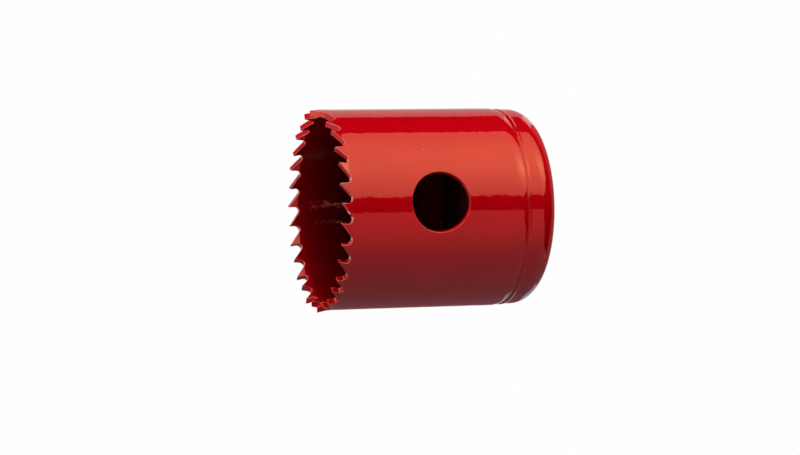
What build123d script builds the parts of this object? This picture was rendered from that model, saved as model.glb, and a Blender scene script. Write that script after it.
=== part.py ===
from build123d import *

import os
from math import atan2, cos, degrees, radians, sin, tan

# Bi-metal hole saw: a tube rolled from toothed steel strip, butt-welded along its seam
# and welded to a thick end cap that screws onto an arbor.
#
# Frame: millimetres. The origin is the centre of the cap's back face, where the arbor's
# shoulder seats, and +Z runs along the axis to the teeth. The side holes face -Y and +Y.

# ---- Tube -----------------------------------------------------------------------------
saw_diameter = 41.0  # outside of the tube, without the set of the teeth
wall = 1.25  # thickness of the strip
overall_height = 46.0  # back face to tooth tips
swage_depth = 0.37  # how far the tube's rear end is drawn in to meet the cap
swage_length = 2.2  # length of that drawn-in end

# ---- Teeth ----------------------------------------------------------------------------
tooth_count = 31
first_tooth_angle = 15.0  # angle of the first tip, measured from +X
rake_angle = 3.0  # how far each rake face hooks under its tip
flank_angle = 36.0  # slope of the back of each tooth
gullet_radius = 0.9  # round at the bottom between two teeth
tip_land = 0.1  # flat left on each tip
tooth_set = 0.4  # how far a tip is bent out of the wall, by turns outwards and inwards
bend_above_gullet = 0.2  # height of the bend line above the gullet bottoms

# ---- Side holes -----------------------------------------------------------------------
side_hole_diameter = 12.1
side_hole_height = 25.5  # centre above the back face
side_hole_count = 2  # spaced evenly round the tube
side_hole_angle = -90.0  # angle of the first one, measured from +X

# ---- End cap --------------------------------------------------------------------------
cap_thickness = 7.1  # back face to the seat under the tube
cap_edge_radius = 4.7  # round between the rim and the back face
rim_step = 0.15  # how far the cap's rim stays inside the tube's outside
rim_slope = 0.9  # height of the slope from the rim down to the weld line
spigot_height = 0.8  # locating spigot above the seat
spigot_clearance = 0.1  # radial gap between the spigot and the tube

# ---- Arbor interface ------------------------------------------------------------------
thread_minor_diameter = 14.4  # bore of the 5/8-18 UNF arbor thread, before its ridges
thread_lead_in = 0.7  # bevel at each mouth of the thread
pin_hole_diameter = 6.5  # holes for the arbor's drive pins
pin_land = 1.4  # metal left between the thread's bore and each pin hole
pin_hole_count = 4
pin_hole_angle = 45.0  # angle of the first one, measured from +X

# ---- Worked out from the above --------------------------------------------------------
tube_radius = saw_diameter / 2
tube_bore_radius = tube_radius - wall
swage_radius = tube_radius - swage_depth
swage_top = cap_thickness + swage_length
swage_bore_radius = swage_radius - wall

rim_radius = tube_radius - rim_step
spigot_radius = swage_bore_radius - spigot_clearance
cap_top = cap_thickness + spigot_height
thread_radius = thread_minor_diameter / 2
pin_hole_radius = pin_hole_diameter / 2
pin_circle_radius = thread_radius + pin_land + pin_hole_radius

pitch_angle = 360 / tooth_count
pitch_turn = radians(pitch_angle)
flank_run = tube_radius * tan(pitch_turn) - tip_land / cos(pitch_turn)

# The rake and flank faces of a gullet meet in a corner that its round then fills. These
# are the corner and the round where the gullet leaves the tube's outside.
flank_fall = tan(radians(flank_angle)) * cos(pitch_turn)
corner_depth = flank_run / (1 / flank_fall - tan(radians(rake_angle)))
corner_offset = -corner_depth * tan(radians(rake_angle))
half_corner = radians(90 - rake_angle - flank_angle) / 2
corner_bisector = radians(90 - rake_angle + flank_angle) / 2
round_reach = gullet_radius / sin(half_corner)
gullet_depth = corner_depth + gullet_radius - round_reach * sin(corner_bisector)
gullet_bottom_offset = corner_offset + round_reach * cos(corner_bisector)
gullet_bottom_angle = degrees(atan2(gullet_bottom_offset, tube_radius))
bend_height = overall_height - gullet_depth + bend_above_gullet

cutter_margin = 1.0  # how far a cutter runs past the faces that it cuts


def tooth_lean(index):
    """Teeth lean out and in by turns, and an odd one left over stands straight."""
    if tooth_count % 2 == 1 and index == tooth_count - 1:
        return 0.0
    return tooth_set if index % 2 == 0 else -tooth_set


def tooth_blank(lean):
    """One pitch of the tooth band, starting at +X, bent by lean at the tips."""
    with BuildPart() as blank:
        with BuildSketch(Plane.XZ):
            with BuildLine():
                Polyline(
                    (tube_bore_radius, bend_height),
                    (tube_radius, bend_height),
                    (tube_radius + lean, overall_height),
                    (tube_bore_radius + lean, overall_height),
                    close=True,
                )
            make_face()
        revolve(axis=Axis.Z, revolution_arc=pitch_angle)
    return blank.part


# A gullet cutter with its rake face at +X. The rake face is square to the wall at the
# tooth before it and the flank at the tooth after it, so that a tooth keeps one section
# through the wall and its tip stays level.
cutter_start = tube_bore_radius - tooth_set - cutter_margin
cutter_length = wall + 2 * (tooth_set + cutter_margin)
cutter_depth = corner_depth + cutter_margin
cutter_top = overall_height + cutter_margin
flank_reach = tip_land + cutter_depth / tan(radians(flank_angle))

with BuildPart() as gullet:
    with BuildSketch(Plane.YZ.offset(cutter_start)):
        with BuildLine():
            Polyline(
                (0, cutter_top),
                (0, overall_height),
                (-cutter_depth * tan(radians(rake_angle)), overall_height - cutter_depth),
                (flank_reach, overall_height - cutter_depth),
                (flank_reach, cutter_top),
                close=True,
            )
        make_face()
    extrude(amount=cutter_length)
    with BuildSketch(Plane.YZ.rotated((0, 0, pitch_angle))):
        with BuildLine():
            Polyline(
                (-tip_land, cutter_top),
                (-tip_land, overall_height),
                (-flank_reach, overall_height - cutter_depth),
                (-flank_reach, cutter_top),
                close=True,
            )
        make_face()
    extrude(amount=2 * tube_radius, mode=Mode.INTERSECT)
    fillet(gullet.edges().sort_by(Axis.Z)[0], gullet_radius)


# Tube with its teeth, side holes and drawn-in rear end.
with BuildPart() as saw_body:
    with BuildSketch(Plane.XZ):
        with BuildLine():
            Polyline(
                (tube_radius, swage_top),
                (tube_radius, bend_height),
                (tube_bore_radius, bend_height),
                (tube_bore_radius, swage_top),
                (swage_bore_radius, cap_thickness),
                (swage_radius, cap_thickness),
                close=True,
            )
        make_face()
    revolve(axis=Axis.Z)

    blank_start = first_tooth_angle + gullet_bottom_angle - pitch_angle
    for tooth in range(tooth_count):
        with Locations(Rotation(0, 0, blank_start + tooth * pitch_angle)):
            add(tooth_blank(tooth_lean(tooth)))
    with PolarLocations(0, tooth_count, start_angle=first_tooth_angle):
        add(gullet.part, mode=Mode.SUBTRACT)

    with Locations((0, 0, side_hole_height)):
        with PolarLocations(tube_radius, side_hole_count, start_angle=side_hole_angle):
            Cylinder(
                side_hole_diameter / 2,
                2 * (wall + cutter_margin),
                rotation=(0, 90, 0),
                mode=Mode.SUBTRACT,
            )
saw_body.part.label = "saw_body"


# Welded end cap with the arbor thread's bore and the drive-pin holes.
with BuildPart() as end_cap:
    with BuildSketch(Plane.XZ):
        with BuildLine():
            RadiusArc(
                (rim_radius - cap_edge_radius, 0),
                (rim_radius, cap_edge_radius),
                -cap_edge_radius,
            )
            Polyline(
                (rim_radius, cap_edge_radius),
                (rim_radius, cap_thickness - rim_slope),
                (swage_radius, cap_thickness),
                (spigot_radius, cap_thickness),
                (spigot_radius, cap_top),
                (thread_radius + thread_lead_in, cap_top),
                (thread_radius, cap_top - thread_lead_in),
                (thread_radius, thread_lead_in),
                (thread_radius + thread_lead_in, 0),
                (rim_radius - cap_edge_radius, 0),
            )
        make_face()
    revolve(axis=Axis.Z)

    with Locations((0, 0, cap_top / 2)):
        with PolarLocations(pin_circle_radius, pin_hole_count, start_angle=pin_hole_angle):
            Cylinder(pin_hole_radius, cap_top + 2 * cutter_margin, mode=Mode.SUBTRACT)
end_cap.part.label = "end_cap"


os.makedirs("parts", exist_ok=True)
for piece in (saw_body, end_cap):
    export_step(piece.part, f"parts/{piece.part.label}.step")
    print(piece.part.label, round(piece.part.volume, 1), "mm3")
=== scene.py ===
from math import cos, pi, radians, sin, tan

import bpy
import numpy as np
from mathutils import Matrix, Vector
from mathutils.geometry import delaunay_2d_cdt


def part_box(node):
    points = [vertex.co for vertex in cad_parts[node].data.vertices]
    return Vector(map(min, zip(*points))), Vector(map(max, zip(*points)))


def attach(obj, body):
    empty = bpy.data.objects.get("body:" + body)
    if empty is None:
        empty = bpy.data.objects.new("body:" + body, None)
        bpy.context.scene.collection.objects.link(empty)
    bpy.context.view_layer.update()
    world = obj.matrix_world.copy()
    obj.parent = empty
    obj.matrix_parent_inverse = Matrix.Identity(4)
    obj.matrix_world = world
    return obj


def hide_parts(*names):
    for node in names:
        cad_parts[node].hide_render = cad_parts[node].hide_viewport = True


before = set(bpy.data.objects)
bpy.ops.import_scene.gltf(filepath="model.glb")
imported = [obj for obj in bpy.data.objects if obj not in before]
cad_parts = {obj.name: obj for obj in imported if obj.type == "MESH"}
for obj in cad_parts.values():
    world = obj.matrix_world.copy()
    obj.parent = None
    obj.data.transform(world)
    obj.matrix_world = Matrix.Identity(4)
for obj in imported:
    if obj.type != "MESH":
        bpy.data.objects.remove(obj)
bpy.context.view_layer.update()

# Looks of a lacquered bi-metal hole saw. The two CAD nodes are replaced by finely
# modelled meshes of the same form: the toothed tube, shaped like the flat strip that it
# was rolled from, and the welded end cap with its arbor thread and drive-pin holes.
# Lengths are in millimetres, apart from those of the reflectors, floor and lamps, which
# are in metres.

MM = 0.001
tube_low, tube_high = (np.array(corner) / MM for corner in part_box("saw_body"))
_, cap_high = (np.array(corner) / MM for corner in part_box("end_cap"))

# ---- Sizes that the frame gives -------------------------------------------------------
TIP_HEIGHT = tube_high[2]
SEAT_HEIGHT = tube_low[2]
CAP_TOP = cap_high[2]
SHOULDER_RADIUS = cap_high[0]

# ---- Sizes of the CAD that a box can't give -------------------------------------------
TUBE_RADIUS = 20.5
WALL = 1.25
SWAGE_DEPTH = 0.37
SWAGE_LENGTH = 2.2
SWAGE_ARC = (SWAGE_LENGTH**2 + SWAGE_DEPTH**2) / (2 * SWAGE_DEPTH)
SWAGE_OVERRUN = 0.1  # the arc goes on for this far under the seat, for slopes at its end

TOOTH_COUNT = 31
FIRST_TOOTH_ANGLE = 15.0
RAKE_ANGLE = radians(3.0)
FLANK_ANGLE = radians(36.0)
GULLET_RADIUS = 0.9
TIP_LAND = 0.1
TOOTH_SET = 0.4
BEND_ABOVE_GULLET = 0.2

SIDE_HOLE_RADIUS = 6.05
SIDE_HOLE_HEIGHT = 25.5
SIDE_HOLE_ANGLES = (-90.0, 90.0)

CAP_EDGE_RADIUS = 4.7
WELD_RADIUS = TUBE_RADIUS - SWAGE_DEPTH
SPIGOT_CLEARANCE = 0.1
SPIGOT_RADIUS = WELD_RADIUS - WALL - SPIGOT_CLEARANCE

THREAD_MINOR_RADIUS = 7.2
THREAD_MAJOR_RADIUS = 7.94
THREAD_PITCH = 25.4 / 18
THREAD_CREST_CUT = 0.16  # height that each ridge lacks of a sharp crest
THREAD_LEAD_IN = 0.7
PIN_HOLE_RADIUS = 3.25
PIN_CIRCLE_RADIUS = 11.85
PIN_HOLE_ANGLES = (45.0, 135.0, 225.0, 315.0)

# ---- Finish ---------------------------------------------------------------------------
EDGE_ROUND = 0.12  # lacquer rounds every cut edge of the strip by this much
REAR_ROUND = 0.05  # the same at the rear end, which the weld closes
CORNER_ROUND = 0.15  # the same on the turned corners of the cap
WELD_ROUND = 0.04  # the same at the foot of the weld groove
WELD_SINK = 0.01  # how far the groove's foot lies under the seat
BEND_BLEND = 0.15  # half-width of the curve at the bend line of the set
SET_SCATTER = 0.12  # how unevenly the teeth are set, as a share of the set
TOOTH_SCATTER = 0.03  # how unevenly the tips stand, to either side
TOOTH_WEAR_AND_HIGHLIGHT, HOLE_WEAR_AND_HIGHLIGHT, REAR_WEAR_AND_HIGHLIGHT = 1.0, 0.35, 0.0  # how thin the lacquer is on each edge, with a painted highlight laid along it

# The weld pushes the cap's shoulder out past its rim in a low bead.
RIM_BEAD = 0.08
BEAD_FOOT = 0.85  # depths under the seat, from the bead's foot to its upper edge
BEAD_BOTTOM = 0.55
BEAD_TOP = 0.3
BEAD_FOOT_ROUND = 0.4
BEAD_ROUND = 0.15

SEAM_ANGLE = -88.5  # where the strip's butt weld runs along the tube
SEAM_WIDTH = 1.1
SEAM_RELIEF = 0.016  # how far the dressed weld still stands out or sinks in
ROLL_RELIEF = 0.014  # waves left by the rollers where the rear end starts to draw in
ROLL_OFFSET = 0.6  # middle of these waves, above the drawn-in end
ROLL_WIDTH = 2.2

# Waves of a height, a wavelength and a phase.
SEAM_HEIGHTS = ((0.5, 4.7, 0.4), (0.34, 2.6, 2.1), (0.26, 1.5, 4.0), (0.3, 9.0, 1.2))
SEAM_WANDER = ((0.25, 6.1, 0.9), (0.15, 3.3, 2.5))
ROLL_HEIGHTS = ((0.6, 11.7, 0.4), (0.5, 7.1, 2.6), (0.3, 4.6, 4.4))

# Inside the cup the red darkens towards a near-black painted shade, from a height downwards.
DEPTH_SHADE_START = 46.0
DEPTH_SHADE_FADE = 15.0
INSIDE_MARGIN = 0.2  # the cup's inside reaches this far under the cap's top
SPIGOT_MARGIN = 0.1  # and this far past the spigot

RANDOM_SEED = 31
rng = np.random.default_rng(RANDOM_SEED)

# ---- Fineness of the meshes -----------------------------------------------------------
WALL_COLUMNS = 144  # columns of points round the tube
SWAGE_ROWS, WALL_ROWS, TOOTH_ROWS = 16, 38, 11
SWAGE_MARGIN = 0.6  # the rows of the drawn-in end go on for this far above it
ROOT_MARGIN = 1.0  # the rows of the teeth start this far under the bend line
TOOTH_COLUMN_SHIFT = 0.45  # from a column to the extra one beside it at the teeth
SEAM_REACH = 3.0  # the fine grid along the seam, to either side
SEAM_STEP = 0.3
EDGE_GAP = 0.18  # least distance from a grid point to a cut edge
BORDER_GAP = 0.1  # the same under the teeth, and at the ends of the strip's sides
EDGE_STEPS = 5  # rings of an edge's round
HOLE_STEPS = 96
GULLET_START_STEPS, FLANK_STEPS, TIP_STEPS, RAKE_STEPS, GULLET_END_STEPS = 4, 7, 8, 3, 9
CAP_SEGMENTS, BORE_SEGMENTS, PIN_SEGMENTS = 288, 160, 64
THREAD_ROWS = 96
CORNER_STEPS = 12  # steps in half a turn round a small corner of the cap
LARGE_CORNER = 1.0  # a corner of a larger radius has twice as many
FACE_LAP = 0.01  # width of the ring between the cap's edge round and its flat face
PIN_LAP = 0.02  # the same round a pin hole
SPIGOT_LAP = 0.1  # the same inside the spigot's corner

WELD_STEP = 1e-4  # points that share a cell of this size become one
WELD_SHIFT = 0.0000371  # keeps round coordinates off the borders between the cells
SAME_POINT = 1e-6
FILL_TOLERANCE = 1e-7
SLOPE_STEP = 0.01  # distance over which slopes are measured


# ---- Surfaces made of welded patches --------------------------------------------------
class Patch:
    """Part of a surface: its points, the outward normal at each, and its faces."""

    def __init__(self, points, normals, faces, thin_paint_and_highlight=None):
        self.points = np.asarray(points, float)
        normals = np.asarray(normals, float)
        self.normals = normals / np.linalg.norm(normals, axis=1)[:, None]
        self.faces = faces
        self.thin_paint_and_highlight = np.zeros(len(self.points)) if thin_paint_and_highlight is None else thin_paint_and_highlight


def grid_faces(rows, columns, closed):
    """Quads of a grid of points that are numbered row by row, with its rows closed or open."""
    steps = columns if closed else columns - 1
    faces = []
    for row in range(rows - 1):
        for column in range(steps):
            after = (column + 1) % columns
            here, above = row * columns, (row + 1) * columns
            faces.append((here + column, here + after, above + after, above + column))
    return faces


def welded(patches):
    """Points, normals, thin paint with its painted highlight, and faces of patches whose borders
    share their points.
    """
    index_of, points, normals, thin_paint_and_highlight, faces = {}, [], [], [], []
    for patch in patches:
        keys = np.floor(patch.points / WELD_STEP + WELD_SHIFT / WELD_STEP).astype(int)
        new_index = []
        for key, point, normal, paint in zip(
            map(tuple, keys), patch.points, patch.normals, patch.thin_paint_and_highlight
        ):
            if key not in index_of:
                index_of[key] = len(points)
                points.append(point)
                normals.append(normal)
                thin_paint_and_highlight.append(paint)
            new_index.append(index_of[key])
        for face in patch.faces:
            corners = [new_index[i] for i in face]
            corners = [c for i, c in enumerate(corners) if c != corners[i - 1]]
            if len(corners) > 2:
                faces.append(corners)
    return np.array(points), np.array(normals), thin_paint_and_highlight, faces


def facing_outward(faces, points, normals):
    """The faces, each with its corners in the order that turns it outward."""
    turned = []
    for face in faces:
        first = points[face[0]]
        square_to_face = np.cross(points[face[1]] - first, points[face[-1]] - first)
        outward = np.dot(square_to_face, normals[face].sum(axis=0)) >= 0
        turned.append(face if outward else face[::-1])
    return turned


def inside_and_depth_shade(points, normals):
    """How much each point is of the cup's inside, and how much painted shade darkens it deeper
    in.
    """
    radius = np.hypot(points[:, 0], points[:, 1])
    facing_in = -np.sum(points[:, :2] * normals[:, :2], axis=1) / radius
    cap_face = normals[:, 2] * (radius < SPIGOT_RADIUS + SPIGOT_MARGIN)
    facing_in = np.maximum(facing_in, cap_face)
    turned_in = np.clip(2 * facing_in - 0.5, 0, 1)  # 0 up to a quarter, 1 from three quarters
    inside = turned_in * (points[:, 2] > CAP_TOP - INSIDE_MARGIN)
    # painted shade: the red darkens deeper into the cup
    depth_in = np.clip((DEPTH_SHADE_START - points[:, 2]) / DEPTH_SHADE_FADE, 0, 1)
    return inside, depth_in * inside


def welded_piece(name, patches, material):
    """One object from patches that share the points along their borders."""
    points, normals, thin_paint_and_highlight, faces = welded(patches)
    inside, depth_shade = inside_and_depth_shade(points, normals)
    mesh = bpy.data.meshes.new(name)
    mesh.from_pydata((points * MM).tolist(), [], facing_outward(faces, points, normals))
    mesh.polygons.foreach_set("use_smooth", [True] * len(mesh.polygons))
    # thin paint with its painted highlight on edges, and painted shade inside the cup, are held
    # at the points
    for label, values in (("thin_paint_and_highlight", thin_paint_and_highlight), ("depth_shade", depth_shade), ("inside", inside)):
        mesh.attributes.new(label, "FLOAT", "POINT").data.foreach_set("value", values)
    mesh.materials.append(material)
    mesh.update()
    mesh.normals_split_custom_set_from_vertices(normals.tolist())
    piece = bpy.data.objects.new(name, mesh)
    bpy.context.scene.collection.objects.link(piece)
    return piece


def inside_loop(places, loop):
    """Whether each place is inside a closed loop.

    A ray from a place inside crosses the loop an odd number of times.
    """
    inside = np.zeros(len(places), bool)
    for (x0, y0), (x1, y1) in zip(loop, np.roll(loop, -1, axis=0)):
        if y0 != y1:
            level = (y0 > places[:, 1]) != (y1 > places[:, 1])
            inside ^= level & (places[:, 0] < x0 + (places[:, 1] - y0) * (x1 - x0) / (y1 - y0))
    return inside


def fill_outline(loops, inner_points=()):
    """Triangles between closed loops of plane points. The first loop is the outer one."""
    points, edges = [], []
    for loop in loops:
        first = len(points)
        points += [tuple(p) for p in loop]
        edges += [(first + i, first + (i + 1) % len(loop)) for i in range(len(loop))]
    points += [tuple(p) for p in inner_points]
    inside_only = 1
    filled = delaunay_2d_cdt([Vector(p) for p in points], edges, [], inside_only, FILL_TOLERANCE)
    flat = np.array([tuple(p) for p in filled[0]])
    triangles = np.array([tuple(f) for f in filled[2]])
    in_hole = np.zeros(len(triangles), bool)
    for loop in loops[1:]:
        in_hole |= inside_loop(flat[triangles].mean(axis=1), np.asarray(loop))
    return flat, triangles[~in_hole].tolist()


def span(start, end, count):
    """Evenly spaced values from start up to, and not including, end."""
    return np.linspace(start, end, count, endpoint=False)


def directions(angle):
    """Unit vectors away from the saw's axis and round it, at each angle."""
    radial = np.stack([np.cos(angle), np.sin(angle), np.zeros_like(angle)], axis=1)
    around = np.stack([-np.sin(angle), np.cos(angle), np.zeros_like(angle)], axis=1)
    return radial, around


# ---- The strip that the tube is rolled from -------------------------------------------
# s runs round the tube's outside, z along its axis and depth into the wall.
TOOTH_PITCH = 2 * pi * TUBE_RADIUS / TOOTH_COUNT
STRIP_LENGTH = TOOTH_PITCH * TOOTH_COUNT

rake_normal = np.array([cos(RAKE_ANGLE), -sin(RAKE_ANGLE)])
flank_normal = np.array([-sin(FLANK_ANGLE), cos(FLANK_ANGLE)])
outline_normals = np.array([rake_normal, flank_normal])


def where_lines_meet(on_rake, on_flank, offset):
    """Where a rake line and a flank line meet, both moved off the metal by offset."""
    reach = [rake_normal @ on_rake + offset, flank_normal @ on_flank + offset]
    return np.linalg.solve(outline_normals, reach)


tip_point = np.array([0.0, TIP_HEIGHT])
flank_end = np.array([-TIP_LAND, TIP_HEIGHT])
next_flank_end = np.array([TOOTH_PITCH - TIP_LAND, TIP_HEIGHT])
tip_core = where_lines_meet(tip_point, flank_end, -EDGE_ROUND)
gullet_centre = where_lines_meet(tip_point, next_flank_end, GULLET_RADIUS)
GULLET_BOTTOM = gullet_centre[1] - GULLET_RADIUS
BEND_HEIGHT = GULLET_BOTTOM + BEND_ABOVE_GULLET
STRIP_START_ANGLE = FIRST_TOOTH_ANGLE + np.degrees(
    (gullet_centre[0] - TOOTH_PITCH) / TUBE_RADIUS
)

# Teeth lean out and in by turns, and an odd one left over stands straight.
set_scatter = 1 + rng.uniform(-SET_SCATTER, SET_SCATTER, TOOTH_COUNT)
tooth_side = np.where(np.arange(TOOTH_COUNT) % 2 == 0, 1.0, -1.0)
tooth_side[TOOTH_COUNT - 1] = 0.0 if TOOTH_COUNT % 2 else tooth_side[-1]
tooth_lean = TOOTH_SET * tooth_side * set_scatter


def strip_position(angle):
    """s of an angle that is measured from +X, in degrees."""
    return radians((angle - STRIP_START_ANGLE) % 360) * TUBE_RADIUS


def ramp(x, blend):
    """Zero below 0 and x above it, eased over blend to either side."""
    x = np.asarray(x, float)
    eased = (x + blend) ** 2 / (4 * blend)
    return np.where(x <= -blend, 0.0, np.where(x >= blend, x, eased))


def ripple(x, waves):
    """A smooth uneven line: a sum of (height, wavelength, phase) waves."""
    return sum(height * np.sin(2 * pi * x / length + phase) for height, length, phase in waves)


def outside_radius(s, z):
    """Radius of the tube's outside, with its swage, tooth set and weld seam."""
    below = np.clip(SEAT_HEIGHT + SWAGE_LENGTH - z, 0, SWAGE_LENGTH + SWAGE_OVERRUN)
    radius = TUBE_RADIUS - SWAGE_ARC + np.sqrt(SWAGE_ARC**2 - below**2)
    tooth = np.floor(s / TOOTH_PITCH).astype(int) % TOOTH_COUNT
    lift = ramp(z - BEND_HEIGHT, BEND_BLEND) / (TIP_HEIGHT - BEND_HEIGHT)
    radius = radius + tooth_lean[tooth] * lift
    off_seam = s - strip_position(SEAM_ANGLE) - ripple(z, SEAM_WANDER)
    seam = SEAM_RELIEF * ripple(z, SEAM_HEIGHTS) * np.exp(-((off_seam / SEAM_WIDTH) ** 2))
    off_roll = (z - SEAT_HEIGHT - SWAGE_LENGTH - ROLL_OFFSET) / ROLL_WIDTH
    rolled = ROLL_RELIEF * ripple(s, ROLL_HEIGHTS) * np.exp(-(off_roll**2))
    return radius + seam + rolled


def strip_patch(s, z, depth, across, along, tilt, faces, thin_paint_and_highlight=None):
    """Rolls points of the strip up. across and along point away from the metal in its plane.

    tilt is 0 on the outside of the tube, a quarter turn on a cut edge and a half turn
    on the inside.
    """
    step = SLOPE_STEP
    slope_s = (outside_radius(s + step, z) - outside_radius(s - step, z)) / (2 * step)
    slope_z = (outside_radius(s, z + step) - outside_radius(s, z - step)) / (2 * step)
    radius = outside_radius(s, z) - depth
    radial, around = directions(radians(STRIP_START_ANGLE) + s / TUBE_RADIUS)
    axial = np.array([0.0, 0.0, 1.0])
    outward = np.cos(tilt)
    part_around = (across * np.sin(tilt) - outward * slope_s) * TUBE_RADIUS / radius
    part_axial = along * np.sin(tilt) - outward * slope_z
    normals = outward[:, None] * radial + part_around[:, None] * around
    normals = normals + part_axial[:, None] * axial
    points = radius[:, None] * radial + z[:, None] * axial
    return Patch(points, normals, faces, thin_paint_and_highlight)


# ---- Outlines of the strip: core points that the edge round is swept round -------------
def tooth_outline():
    """Core points and normals along all the teeth, from one end of the strip to the other."""
    flank_turn, rake_turn = pi / 2 + FLANK_ANGLE, -RAKE_ANGLE
    core_radius = GULLET_RADIUS + EDGE_ROUND
    before, after = gullet_centre - [TOOTH_PITCH, 0], gullet_centre

    def arc(centre, turns):
        normals = np.stack([np.cos(turns), np.sin(turns)], axis=1)
        return centre - core_radius * normals, normals

    def straight(start, end, normal, count):
        steps = span(0, 1, count)[:, None]
        return start + steps * (end - start), np.tile(normal, (count, 1))

    tip_turns = span(flank_turn, rake_turn, TIP_STEPS)
    tip_normals = np.stack([np.cos(tip_turns), np.sin(tip_turns)], axis=1)
    runs = [
        arc(before, span(pi / 2, flank_turn, GULLET_START_STEPS)),
        straight(before - core_radius * flank_normal, tip_core, flank_normal, FLANK_STEPS),
        (np.tile(tip_core, (TIP_STEPS, 1)), tip_normals),
        straight(tip_core, after - core_radius * rake_normal, rake_normal, RAKE_STEPS),
        arc(after, span(rake_turn, pi / 2, GULLET_END_STEPS)),
    ]
    core = np.concatenate([run[0] for run in runs])
    normals = np.concatenate([run[1] for run in runs])
    weight = np.clip((core[:, 1] - GULLET_BOTTOM) / (TIP_HEIGHT - GULLET_BOTTOM), 0, 1)

    cores, all_normals = [], []
    for tooth in range(TOOTH_COUNT):
        nudge = rng.uniform(-TOOTH_SCATTER, TOOTH_SCATTER, 2)
        nudge[1] = -abs(nudge[1])
        shift = [tooth * TOOTH_PITCH - before[0], 0]
        cores.append(core + shift + weight[:, None] ** 2 * nudge)
        all_normals.append(normals)
    end = cores[0][:1] + [STRIP_LENGTH, 0]
    return np.concatenate(cores + [end]), np.concatenate(all_normals + [normals[:1]])


def hole_outline(angle):
    """Core points and normals round a side hole, which the tube's curve stretches a little."""
    turns = span(0, 2 * pi, HOLE_STEPS)
    radius = SIDE_HOLE_RADIUS + EDGE_ROUND
    across = TUBE_RADIUS * np.arcsin(radius * np.cos(turns) / TUBE_RADIUS)
    core = np.stack(
        [strip_position(angle) + across, SIDE_HOLE_HEIGHT + radius * np.sin(turns)], axis=1
    )
    return core, -np.stack([np.cos(turns), np.sin(turns)], axis=1)


def swept_edge(core, normals, closed, wear_and_highlight, edge_round=EDGE_ROUND):
    """The rounded edge of the strip from its outside, across the cut, to its inside."""
    turns = np.linspace(0, pi / 2, EDGE_STEPS)
    reaches = edge_round * np.sin(turns)
    depths = edge_round * (1 - np.cos(turns))
    # the lacquer thins midway round each edge, and a painted highlight is laid there too
    rings = list(zip(reaches, depths, turns, wear_and_highlight * np.sin(2 * turns)))
    rings += [(r, WALL - d, pi - t, p) for r, d, t, p in reversed(rings)]
    reach, depth, tilt, thin_paint_and_highlight = np.array(rings).T[:, :, None]
    s = core[:, 0] + reach * normals[:, 0]
    z = core[:, 1] + reach * normals[:, 1]
    columns = np.broadcast_arrays(s, z, depth, normals[:, 0], normals[:, 1], tilt, thin_paint_and_highlight)
    s, z, depth, across, along, tilt, thin_paint_and_highlight = (column.ravel() for column in columns)
    faces = grid_faces(len(rings), len(core), closed)
    return strip_patch(s, z, depth, across, along, tilt, faces, thin_paint_and_highlight)


# ---- Wall of the tube -----------------------------------------------------------------
def grid(columns, rows):
    """Points where the columns and rows cross."""
    return np.stack(np.meshgrid(columns, rows), axis=-1).reshape(-1, 2)


def wall_rows(rear_height):
    """Heights of the wall's rows, closer together where it bends."""
    swage_end = SEAT_HEIGHT + SWAGE_LENGTH + SWAGE_MARGIN
    root = BEND_HEIGHT - ROOT_MARGIN
    return np.concatenate([
        span(rear_height, swage_end, SWAGE_ROWS),
        span(swage_end, root, WALL_ROWS),
        np.linspace(root, TIP_HEIGHT, TOOTH_ROWS),
    ])


def wall_points(columns, rows, rear_height):
    """Points all over the wall, with extra ones at the teeth and along the seam."""
    tooth_rows = rows[rows > BEND_HEIGHT - ROOT_MARGIN]
    points = np.concatenate([
        grid(columns[1:-1], rows[1:]),
        grid(columns[1:-1] + TOOTH_COLUMN_SHIFT, tooth_rows),
    ])
    seam = strip_position(SEAM_ANGLE)
    off_seam = np.abs(points[:, 0] - seam) > SEAM_REACH + SEAM_STEP
    points = points[off_seam | (points[:, 1] > BEND_HEIGHT)]
    seam_columns = seam + np.arange(-SEAM_REACH, SEAM_REACH + SEAM_STEP / 2, SEAM_STEP)
    seam_rows = np.arange(rear_height + SEAM_STEP, BEND_HEIGHT, SEAM_STEP)
    return np.concatenate([points, grid(seam_columns, seam_rows)])


def wall_border(rear, rows, teeth):
    """The strip's rear end, one side, toothed edge and other side, as one loop."""
    side_rows = rows[(rows > rear[0, 1] + BORDER_GAP) & (rows < teeth[0, 1] - BORDER_GAP)]
    left = [(0.0, z) for z in side_rows]
    right = [(STRIP_LENGTH, z) for z in side_rows]
    border = [*rear, *right, *teeth[::-1], *reversed(left)]
    gaps = [np.linalg.norm(np.subtract(p, border[i - 1])) for i, p in enumerate(border)]
    return [point for point, gap in zip(border, gaps) if gap > SAME_POINT]


def in_side_hole(point):
    """Whether a point of the strip lies in a side hole."""
    return any(
        np.hypot(point[0] - strip_position(angle), point[1] - SIDE_HOLE_HEIGHT)
        < SIDE_HOLE_RADIUS
        for angle in SIDE_HOLE_ANGLES
    )


def clear_of_edges(points, loops, teeth):
    """The points that lie in the metal and not too close to an edge."""
    edge_points = np.concatenate([np.array(loop) for loop in loops])
    clear = []
    for point in points:
        gap = np.min(np.hypot(*(edge_points - point).T))
        tooth_height = np.interp(point[0], teeth[:, 0], teeth[:, 1])
        in_metal = point[1] < tooth_height - BORDER_GAP and not in_side_hole(point)
        if gap > EDGE_GAP and in_metal:
            clear.append(point)
    return clear


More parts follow.
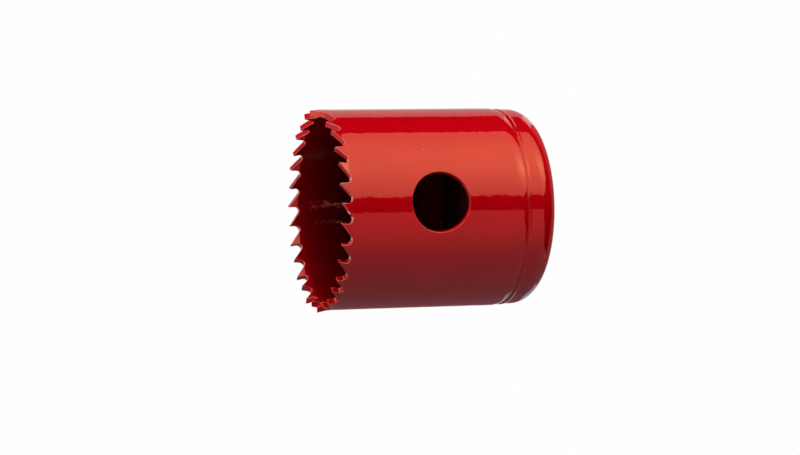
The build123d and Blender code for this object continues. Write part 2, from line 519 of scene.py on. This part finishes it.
def tube_patches():
    """Outside, inside and every cut edge of the toothed tube."""
    teeth, tooth_normals = tooth_outline()
    holes = [hole_outline(angle) for angle in SIDE_HOLE_ANGLES]
    rear_height = SEAT_HEIGHT + REAR_ROUND
    columns = np.linspace(0, STRIP_LENGTH, WALL_COLUMNS + 1)
    rear = np.stack([columns, np.full(len(columns), rear_height)], axis=1)
    rear_normals = np.tile([0.0, -1.0], (len(columns), 1))
    rows = wall_rows(rear_height)
    loops = [wall_border(rear, rows, teeth)] + [core for core, _ in holes]
    inner = clear_of_edges(wall_points(columns, rows, rear_height), loops, teeth)
    flat, faces = fill_outline(loops, inner)
    s, z = flat[:, 0], flat[:, 1]
    zeros = np.zeros(len(flat))
    patches = [
        strip_patch(s, z, zeros, zeros, zeros, zeros, faces),
        strip_patch(s, z, zeros + WALL, zeros, zeros, zeros + pi, faces),
        swept_edge(teeth, tooth_normals, closed=False, wear_and_highlight=TOOTH_WEAR_AND_HIGHLIGHT),
        swept_edge(rear, rear_normals, closed=False, wear_and_highlight=REAR_WEAR_AND_HIGHLIGHT, edge_round=REAR_ROUND),
    ]
    for core, normals in holes:
        patches.append(swept_edge(core, normals, closed=True, wear_and_highlight=HOLE_WEAR_AND_HIGHLIGHT))
    return patches


# ---- End cap --------------------------------------------------------------------------
def rounded_corner(place, before, after, radius):
    """Points and headings round a corner between two unit headings."""
    turn = np.arctan2(before[0] * after[1] - before[1] * after[0], before @ after)
    side = np.sign(turn)
    start = place - abs(radius * tan(turn / 2)) * before
    centre = start + side * radius * np.array([-before[1], before[0]])
    half_turn_steps = CORNER_STEPS * (2 if radius > LARGE_CORNER else 1)
    steps = max(3, int(abs(turn) * half_turn_steps / pi) + 1)
    points, headings = [], []
    for t in np.linspace(0, turn, steps):
        heading = np.array([
            before[0] * cos(t) - before[1] * sin(t),
            before[0] * sin(t) + before[1] * cos(t),
        ])
        points.append(centre - side * radius * np.array([-heading[1], heading[0]]))
        headings.append(heading)
    return points, headings


def rounded_path(corners):
    """Points and right-hand normals along (radius, height, round) corners."""
    places = [np.array(corner[:2], float) for corner in corners]
    runs = [run / np.linalg.norm(run) for run in np.diff(places, axis=0)]
    points, headings = [places[0]], [runs[0]]
    for i in range(1, len(corners) - 1):
        more, more_headings = rounded_corner(places[i], runs[i - 1], runs[i], corners[i][2])
        points += more
        headings += more_headings
    points.append(places[-1])
    headings.append(runs[-1])
    return np.array(points), np.array([[heading[1], -heading[0]] for heading in headings])


def ring(radius, count, centre=(0.0, 0.0)):
    """Plane points of a circle, evenly spaced from +X."""
    angles = span(0, 2 * pi, count)
    return np.stack(
        [centre[0] + radius * np.cos(angles), centre[1] + radius * np.sin(angles)], axis=1
    )


def spun(path, count, centre=(0.0, 0.0)):
    """A path spun round an upright axis through centre."""
    rings, ring_normals = [], []
    for (radius, height), (out, up) in zip(*path):
        rings.append(np.column_stack([ring(radius, count, centre), np.full(count, height)]))
        ring_normals.append(np.column_stack([ring(out, count), np.full(count, up)]))
    faces = grid_faces(len(rings), count, True)
    return Patch(np.concatenate(rings), np.concatenate(ring_normals), faces)


def flat_face(height, up, loops):
    """A level face between circles."""
    flat, faces = fill_outline(loops)
    points = np.column_stack([flat, np.full(len(flat), height)])
    return Patch(points, np.tile([0.0, 0.0, up], (len(flat), 1)), faces)


def thread_radius(angle, height):
    """Radius of the tapped bore: 60-degree ridges that run out in the bevelled mouths."""
    turn = (height / THREAD_PITCH - angle / (2 * pi)) % 1.0
    depth = THREAD_MAJOR_RADIUS - THREAD_MINOR_RADIUS
    flank = np.abs(turn - 0.5) * THREAD_PITCH * np.sqrt(3)
    groove = THREAD_MINOR_RADIUS + np.clip(flank - THREAD_CREST_CUT, 0, depth)
    mouth = THREAD_MINOR_RADIUS + THREAD_LEAD_IN
    cone = np.maximum(mouth - height, mouth - (CAP_TOP - height))
    return np.maximum(groove, cone)


def thread_patch():
    """The tapped bore as a fine grid, with its mouths in the cap's faces."""
    angles, heights = span(0, 2 * pi, BORE_SEGMENTS), np.linspace(0, CAP_TOP, THREAD_ROWS)
    height, angle = (g.ravel() for g in np.meshgrid(heights, angles, indexing="ij"))
    radius, step = thread_radius(angle, height), SLOPE_STEP
    slope_angle = thread_radius(angle + step, height) - thread_radius(angle - step, height)
    slope_height = thread_radius(angle, height + step) - thread_radius(angle, height - step)
    slope_angle, slope_height = slope_angle / (2 * step) / radius, slope_height / (2 * step)
    radial, around = directions(angle)
    normals = -radial + slope_angle[:, None] * around
    normals[:, 2] += slope_height
    points = radius[:, None] * radial
    points[:, 2] = height
    return Patch(points, normals, grid_faces(THREAD_ROWS, BORE_SEGMENTS, True))


def cap_patches():
    """Outside, inner face, drive-pin holes and thread of the welded end cap."""
    rim_radius = SHOULDER_RADIUS - RIM_BEAD
    edge_radius = CAP_EDGE_RADIUS - RIM_BEAD
    flat_radius = rim_radius - edge_radius - FACE_LAP
    inner_radius = SPIGOT_RADIUS - CORNER_ROUND - SPIGOT_LAP
    outside = rounded_path([
        (flat_radius, 0, 0),
        (rim_radius, 0, edge_radius),
        (rim_radius, SEAT_HEIGHT - BEAD_FOOT, BEAD_FOOT_ROUND),
        (SHOULDER_RADIUS, SEAT_HEIGHT - BEAD_BOTTOM, BEAD_ROUND),
        (SHOULDER_RADIUS, SEAT_HEIGHT - BEAD_TOP, BEAD_ROUND),
        (WELD_RADIUS, SEAT_HEIGHT - WELD_SINK, WELD_ROUND),
        (SPIGOT_RADIUS, SEAT_HEIGHT - WELD_SINK, WELD_ROUND),
        (SPIGOT_RADIUS, CAP_TOP, CORNER_ROUND),
        (inner_radius, CAP_TOP, 0),
    ])
    pin_mouth = PIN_HOLE_RADIUS + CORNER_ROUND + PIN_LAP
    pin_hole = rounded_path([
        (pin_mouth, CAP_TOP, 0),
        (PIN_HOLE_RADIUS, CAP_TOP, CORNER_ROUND),
        (PIN_HOLE_RADIUS, 0, CORNER_ROUND),
        (pin_mouth, 0, 0),
    ])
    pin_centres = [
        (PIN_CIRCLE_RADIUS * cos(radians(a)), PIN_CIRCLE_RADIUS * sin(radians(a)))
        for a in PIN_HOLE_ANGLES
    ]
    mouths = [ring(THREAD_MINOR_RADIUS + THREAD_LEAD_IN, BORE_SEGMENTS)]
    mouths += [ring(pin_mouth, PIN_SEGMENTS, centre) for centre in pin_centres]
    patches = [
        spun(outside, CAP_SEGMENTS),
        flat_face(0.0, -1.0, [ring(flat_radius, CAP_SEGMENTS), *mouths]),
        flat_face(CAP_TOP, 1.0, [ring(inner_radius, CAP_SEGMENTS), *mouths]),
        thread_patch(),
    ]
    return patches + [spun(pin_hole, PIN_SEGMENTS, centre) for centre in pin_centres]


# ---- Lacquer --------------------------------------------------------------------------
RED_THIN = (0.55, 0.0006, 0.0048, 1)
RED_THICK = (0.59, 0.0009, 0.006, 1)
# near-black painted shade deep inside the cup
PAINTED_DEPTH_SHADE = (0.025, 0.0006, 0.0009, 1)
# pale colour of edges: worn thin lacquer, partly a painted highlight
WORN_EDGE_AND_HIGHLIGHT = (0.7, 0.36, 0.33, 1)
DUST_NIB = (0.6, 0.2, 0.2, 1)
CLOUD_SCALE = 130.0  # patterns in the lacquer, in cells per metre
WEAR_AND_HIGHLIGHT_SCALE = 420.0
NIB_SCALE = 210.0
PEEL_SCALE = 850.0
CLOUD_RANGE = (0.35, 0.65)  # parts of the noise that are stretched to run from 0 to 1
WEAR_AND_HIGHLIGHT_RANGE = (0.3, 0.7)
NIB_EDGE, NIB_CORE = 0.035, 0.02  # distances from a nib's middle, as shares of a cell
PEEL_HEIGHT = 0.00002  # metres
PEEL_OUTSIDE = 0.7  # strength of the orange peel on the outside
PEEL_ADDED_INSIDE = 1.9  # and how much stronger it is inside


class NodeTree:
    """Short ways to add the nodes of one material or world."""

    def __init__(self, owner):
        owner.use_nodes = True
        self.nodes = owner.node_tree.nodes
        self.links = owner.node_tree.links

    def feed(self, socket, value):
        """Links another node's output to a socket, or sets the socket to a constant."""
        if isinstance(value, bpy.types.NodeSocket):
            self.links.new(value, socket)
        else:
            socket.default_value = value

    def attribute(self, name, output="Fac"):
        """A value that the mesh holds at its points."""
        node = self.nodes.new("ShaderNodeAttribute")
        node.attribute_name = name
        return node.outputs[output]

    def math(self, operation, *values):
        """The result of one operation on numbers."""
        node = self.nodes.new("ShaderNodeMath")
        node.operation = operation
        for socket, value in zip(node.inputs, values):
            self.feed(socket, value)
        return node.outputs[0]

    def noise(self, place, scale, detail):
        """Smooth noise from 0 to 1."""
        node = self.nodes.new("ShaderNodeTexNoise")
        self.feed(node.inputs["Vector"], place)
        node.inputs["Scale"].default_value = scale
        node.inputs["Detail"].default_value = detail
        return node.outputs["Fac"]

    def stretched(self, value, low, high):
        """A value that is 0 at low and 1 at high."""
        node = self.nodes.new("ShaderNodeMapRange")
        self.feed(node.inputs["Value"], value)
        node.inputs["From Min"].default_value = low
        node.inputs["From Max"].default_value = high
        return node.outputs["Result"]

    def mixed(self, factor, first, second):
        """A colour between the first, at 0, and the second, at 1."""
        node = self.nodes.new("ShaderNodeMix")
        node.data_type = "RGBA"
        self.feed(node.inputs["Factor"], factor)
        self.feed(node.inputs[6], first)
        self.feed(node.inputs[7], second)
        return node.outputs[2]


def lacquer_colour(tree, place):
    """Uneven red with painted shade deep inside the cup, worn edges with a painted highlight,
    and dust nibs.
    """
    cloud = tree.stretched(tree.noise(place, CLOUD_SCALE, detail=3.0), *CLOUD_RANGE)
    colour = tree.mixed(cloud, RED_THIN, RED_THICK)
    # painted shade darkens the red deeper inside the cup
    colour = tree.mixed(tree.attribute("depth_shade"), colour, PAINTED_DEPTH_SHADE)
    wear_and_highlight = tree.stretched(tree.noise(place, WEAR_AND_HIGHLIGHT_SCALE, detail=2.0), *WEAR_AND_HIGHLIGHT_RANGE)
    # thin lacquer on edges, partly a painted highlight
    patchy = tree.math("MULTIPLY", tree.attribute("thin_paint_and_highlight"), wear_and_highlight)
    colour = tree.mixed(patchy, colour, WORN_EDGE_AND_HIGHLIGHT)
    cells = tree.nodes.new("ShaderNodeTexVoronoi")
    cells.inputs["Scale"].default_value = NIB_SCALE
    tree.feed(cells.inputs["Vector"], place)
    nib = tree.stretched(cells.outputs["Distance"], NIB_EDGE, NIB_CORE)
    return tree.mixed(nib, colour, DUST_NIB)


def orange_peel(tree, place):
    """The faintly hammered surface of stoved lacquer, stronger inside the cup."""
    peel = tree.nodes.new("ShaderNodeBump")
    peel.inputs["Distance"].default_value = PEEL_HEIGHT
    inside = tree.attribute("inside")
    strength = tree.math("MULTIPLY_ADD", inside, PEEL_ADDED_INSIDE, PEEL_OUTSIDE)
    tree.feed(peel.inputs["Strength"], strength)
    tree.feed(peel.inputs["Height"], tree.noise(place, PEEL_SCALE, detail=2.0))
    return peel.outputs["Normal"]


def lacquer(name):
    """Glossy red stoving lacquer."""
    material = bpy.data.materials.new(name)
    tree = NodeTree(material)
    shader = tree.nodes["Principled BSDF"]
    shader.inputs["Metallic"].default_value = 0.12
    shader.inputs["Specular IOR Level"].default_value = 0.0
    shader.inputs["Roughness"].default_value = 0.12
    shader.inputs["Coat Weight"].default_value = 1.0
    shader.inputs["Coat Roughness"].default_value = 0.03
    shader.inputs["Coat IOR"].default_value = 1.5
    place = tree.nodes.new("ShaderNodeTexCoord").outputs["Object"]
    tree.feed(shader.inputs["Base Color"], lacquer_colour(tree, place))
    normal = orange_peel(tree, place)
    tree.feed(shader.inputs["Coat Normal"], normal)
    tree.feed(shader.inputs["Normal"], normal)
    return material


tube = welded_piece("toothed_tube", tube_patches(), lacquer("tube_lacquer_finish"))
cap = welded_piece("welded_end_cap", cap_patches(), lacquer("cap_lacquer_finish"))
for piece, node, slot in ((tube, "saw_body", "tube_lacquer"), (cap, "end_cap", "cap_lacquer")):
    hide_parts(node)
    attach(piece, "root")


# ---- Reflectors: what the gloss shows -------------------------------------------------
PANEL_COLUMNS, PANEL_ROWS = 72, 40
POLE = 89.9  # elevation just short of straight up, where a panel's corners would meet

BLACK = (0.0, 0.0, 0.0)
ZENITH = (2.0, 1.5, 0.9)
CEILING = (0.22, 0.16, 0.16)
CEILING_BEHIND = (1.3, 0.6, 0.5)
SOFTBOX = (1.82, 1.74, 0.92)
SOFTBOX_SIDE = (1.55, 1.35, 0.82)
SOFTBOX_EDGE = (1.25, 1.0, 0.68)
WARM = (1.12, 0.35, 0.3)
COOL = (0.62, 0.3, 0.3)
SHADE = (0.4, 0.19, 0.22)
DEEP_SHADE = (0.25, 0.1, 0.11)
SIDE = (0.45, 0.45, 0.45)
WINDOW = (1.0, 1.0, 1.0)
FAR_FLOOR = (0.55, 0.14, 0.13)
PALE_BLUE = (0.6, 0.7, 0.8)


def emitter(name):
    """Glows with the radiance that the mesh holds at its points."""
    material = bpy.data.materials.new(name)
    tree = NodeTree(material)
    tree.nodes.remove(tree.nodes["Principled BSDF"])
    glow = tree.nodes.new("ShaderNodeEmission")
    tree.feed(glow.inputs["Color"], tree.attribute("radiance", "Color"))
    tree.feed(tree.nodes["Material Output"].inputs["Surface"], glow.outputs[0])
    material.cycles.emission_sampling = "NONE"
    return material


def reflector(name, distance, columns, hot_spot=None):
    """Part of a sphere round the saw that only its gloss shows, such as a flag or softbox.

    columns are (azimuth, lowest elevation, highest elevation, radiance), and all of it
    runs evenly from each to the next. Azimuth 0 is -Y and 90 is +X. hot_spot is where a
    softbox is brightest: (azimuth, elevation, spread, how much brighter).
    """
    azimuths = np.array([c[0] for c in columns], float)
    azimuth = np.linspace(azimuths[0], azimuths[-1], PANEL_COLUMNS)
    low, high = (np.interp(azimuth, azimuths, [c[k] for c in columns]) for k in (1, 2))
    colour = np.stack(
        [np.interp(azimuth, azimuths, [c[3][k] for c in columns]) for k in range(3)], axis=1
    )
    share = np.linspace(0, 1, PANEL_ROWS)[:, None]
    elevation = low + share * (high - low)
    a, e = np.radians(np.broadcast_to(azimuth, elevation.shape)), np.radians(elevation)
    points = distance * np.stack([np.sin(a) * np.cos(e), -np.cos(a) * np.cos(e), np.sin(e)], -1)
    gain = np.ones(elevation.shape)
    if hot_spot:
        away = np.hypot(azimuth - hot_spot[0], elevation - hot_spot[1]) / hot_spot[2]
        gain = 1 + hot_spot[3] * np.exp(-(away ** 2))
    radiance = np.ones((*elevation.shape, 4))
    radiance[..., :3] = gain[..., None] * colour

    mesh = bpy.data.meshes.new(name)
    mesh.from_pydata(points.reshape(-1, 3).tolist(), [], grid_faces(*elevation.shape, False))
    layer = mesh.attributes.new("radiance", "FLOAT_COLOR", "POINT")
    layer.data.foreach_set("color", radiance.ravel())
    mesh.materials.append(emitter(name))
    panel = bpy.data.objects.new(name, mesh)
    bpy.context.scene.collection.objects.link(panel)
    panel.visible_camera = False
    panel.visible_diffuse = False
    panel.visible_transmission = False
    panel.visible_volume_scatter = False
    panel.visible_shadow = False


reflector("black_flag", 3.0, [
    (-100, -POLE, 25, BLACK),
    (113, -POLE, 25, BLACK),
    (117, -36, 25, BLACK),
    (128, -22, 25, BLACK),
])
reflector("floor_flag", 3.1, [(-180, -POLE, -60, BLACK), (180, -POLE, -60, BLACK)])
reflector("softbox_face", 2.0, [
    (9.6, -42, 62, SOFTBOX_EDGE),
    (20, -54, 62, SOFTBOX_SIDE),
    (42, -61, 62, SOFTBOX),
    (62, -59, 62, SOFTBOX),
    (78, -56, 62, SOFTBOX_SIDE),
    (86, -48, 62, SOFTBOX_EDGE),
    (93.5, -30, 62, SOFTBOX_EDGE),
], hot_spot=(50, -42, 15, 0.9))
reflector("grey_card", 2.0, [
    (-168, -44, 45, DEEP_SHADE),
    (-130, -52, 45, SHADE),
    (-92, -60, 45, COOL),
    (-58, -51, 45, COOL),
    (-35, -49, 45, WARM),
    (-20, -43, 45, WARM),
    (-7.3, -42, 45, WARM),
])
reflector("side_card", 2.5, [
    (128, -28, 25, SIDE),
    (140, -28, 25, SIDE),
    (155, -28, 25, SIDE),
    (175, -28, 25, WINDOW),
    (186, -28, 25, WINDOW),
])
reflector("far_floor", 2.4, [
    (112, -80, -38, FAR_FLOOR),
    (150, -80, -36, FAR_FLOOR),
    (165, -80, -30, FAR_FLOOR),
    (250, -80, -32, FAR_FLOOR),
])
reflector("low_window", 1.9, [(-180, -34, -21, PALE_BLUE), (-138, -40, -26, PALE_BLUE)])
reflector("zenith", 3.0, [(-180, 74, POLE, ZENITH), (180, 74, POLE, ZENITH)])
reflector("ceiling", 3.2, [
    (-180, 24, 75, CEILING_BEHIND),
    (-90, 24, 75, CEILING_BEHIND),
    (-40, 24, 75, CEILING),
    (150, 24, 75, CEILING),
    (180, 24, 75, CEILING_BEHIND),
])

# ---- Pale surroundings ----------------------------------------------------------------
FLOOR_REACH = 3
FLOOR_WHITENESS = 0.99
PAPER_GREY = (0.82, 0.82, 0.82, 1)
WHITE = (1, 1, 1, 1)
AMBIENT = 0.03


def seen_directly(tree):
    """1 for camera, glossy and transmission rays, which see the pale background."""
    path = tree.nodes.new("ShaderNodeLightPath")
    camera_or_glossy = tree.math(
        "MAXIMUM", path.outputs["Is Camera Ray"], path.outputs["Is Glossy Ray"]
    )
    return tree.math("MAXIMUM", camera_or_glossy, path.outputs["Is Transmission Ray"])


def pale_paper():
    """Matt paper that is nearly pure white where it is seen directly."""
    material = bpy.data.materials.new("pale_paper")
    tree = NodeTree(material)
    matt = tree.nodes["Principled BSDF"]
    matt.inputs["Base Color"].default_value = PAPER_GREY
    matt.inputs["Roughness"].default_value = 0.9
    matt.inputs["Specular IOR Level"].default_value = 0.0
    glow = tree.nodes.new("ShaderNodeEmission")
    mix = tree.nodes.new("ShaderNodeMixShader")
    tree.feed(mix.inputs[0], tree.math("MULTIPLY", seen_directly(tree), FLOOR_WHITENESS))
    tree.feed(mix.inputs[1], matt.outputs[0])
    tree.feed(mix.inputs[2], glow.outputs[0])
    tree.feed(tree.nodes["Material Output"].inputs["Surface"], mix.outputs[0])
    return material


floor_corners = [
    (-FLOOR_REACH, -FLOOR_REACH, 0),
    (FLOOR_REACH, -FLOOR_REACH, 0),
    (FLOOR_REACH, FLOOR_REACH, 0),
    (-FLOOR_REACH, FLOOR_REACH, 0),
]
floor_mesh = bpy.data.meshes.new("floor")
floor_mesh.from_pydata(floor_corners, [], [(0, 1, 2, 3)])
floor_mesh.materials.append(pale_paper())
floor = bpy.data.objects.new("floor", floor_mesh)
bpy.context.scene.collection.objects.link(floor)
floor.visible_glossy = False

world = bpy.data.worlds.new("studio")
bpy.context.scene.world = world
world_tree = NodeTree(world)
brightness = world_tree.nodes.new("ShaderNodeMapRange")
brightness.inputs["To Min"].default_value = AMBIENT
brightness.inputs["To Max"].default_value = 1.0
world_tree.feed(brightness.inputs["Value"], seen_directly(world_tree))
background = world_tree.nodes["Background"]
background.inputs["Color"].default_value = WHITE
world_tree.feed(background.inputs["Strength"], brightness.outputs["Result"])

# ---- Lamps ----------------------------------------------------------------------------
LAMP_AIM = Vector((0, 0, 0.023))


def area_lamp(name, azimuth, height, distance, size, power):
    """An area lamp that faces the saw, size wide and high. Azimuth 0 is -Y and 90 is +X."""
    data = bpy.data.lights.new(name, "AREA")
    data.shape = "RECTANGLE"
    data.size, data.size_y = size
    data.energy = power
    lamp = bpy.data.objects.new(name, data)
    turn = radians(azimuth)
    lamp.location = Vector((distance * sin(turn), -distance * cos(turn), height))
    lamp.rotation_euler = (LAMP_AIM - lamp.location).to_track_quat("-Z", "Y").to_euler()
    bpy.context.scene.collection.objects.link(lamp)
    lamp.visible_camera = False
    lamp.visible_glossy = False


area_lamp("key", azimuth=57, height=0.04, distance=1.0, size=(0.9, 0.1), power=11.7)
area_lamp("mouth_lamp", azimuth=125, height=0.13, distance=0.015, size=(0.02, 0.02), power=0.055)
area_lamp("front_fill", azimuth=5, height=0.12, distance=1.2, size=(0.5, 0.2), power=1.2)
area_lamp("rear_fill", azimuth=174, height=0.12, distance=1.2, size=(1.0, 0.24), power=2.8)

# ---- Camera, at the photograph's viewing angle ----------------------------------------
CAMERA_AZIMUTH = radians(-2.85)
CAMERA_ELEVATION = radians(17.751)
CAMERA_ROLL = radians(-91.286)
CAMERA_DISTANCE = 537.8
AIM_HEIGHT = 24.0
SHIFT_RIGHT, SHIFT_UP = 3.506, 3.972  # how far right and up of centre the aim point shows
FOCAL_PIXELS, PHOTO_WIDTH = 2607.6, 800
SENSOR_WIDTH = 36.0
CLIP_START = 0.01

back = Vector((
    sin(CAMERA_AZIMUTH) * cos(CAMERA_ELEVATION),
    -cos(CAMERA_AZIMUTH) * cos(CAMERA_ELEVATION),
    sin(CAMERA_ELEVATION),
))
level = Vector((0, 0, 1)).cross(back).normalized()
upright = back.cross(level)
right = cos(CAMERA_ROLL) * level + sin(CAMERA_ROLL) * upright
up = cos(CAMERA_ROLL) * upright - sin(CAMERA_ROLL) * level
aim = Vector((0, 0, AIM_HEIGHT))
place = aim + CAMERA_DISTANCE * back - SHIFT_RIGHT * right - SHIFT_UP * up
orientation = Matrix((right, up, back)).transposed().to_4x4()

camera_data = bpy.data.cameras.new("camera")
camera_data.sensor_width = SENSOR_WIDTH
camera_data.lens = SENSOR_WIDTH * FOCAL_PIXELS / PHOTO_WIDTH
camera_data.clip_start = CLIP_START
camera = bpy.data.objects.new("camera", camera_data)
camera.matrix_world = Matrix.Translation(place * MM) @ orientation
bpy.context.scene.collection.objects.link(camera)
bpy.context.scene.camera = camera

bpy.context.scene.view_settings.view_transform = "Standard"
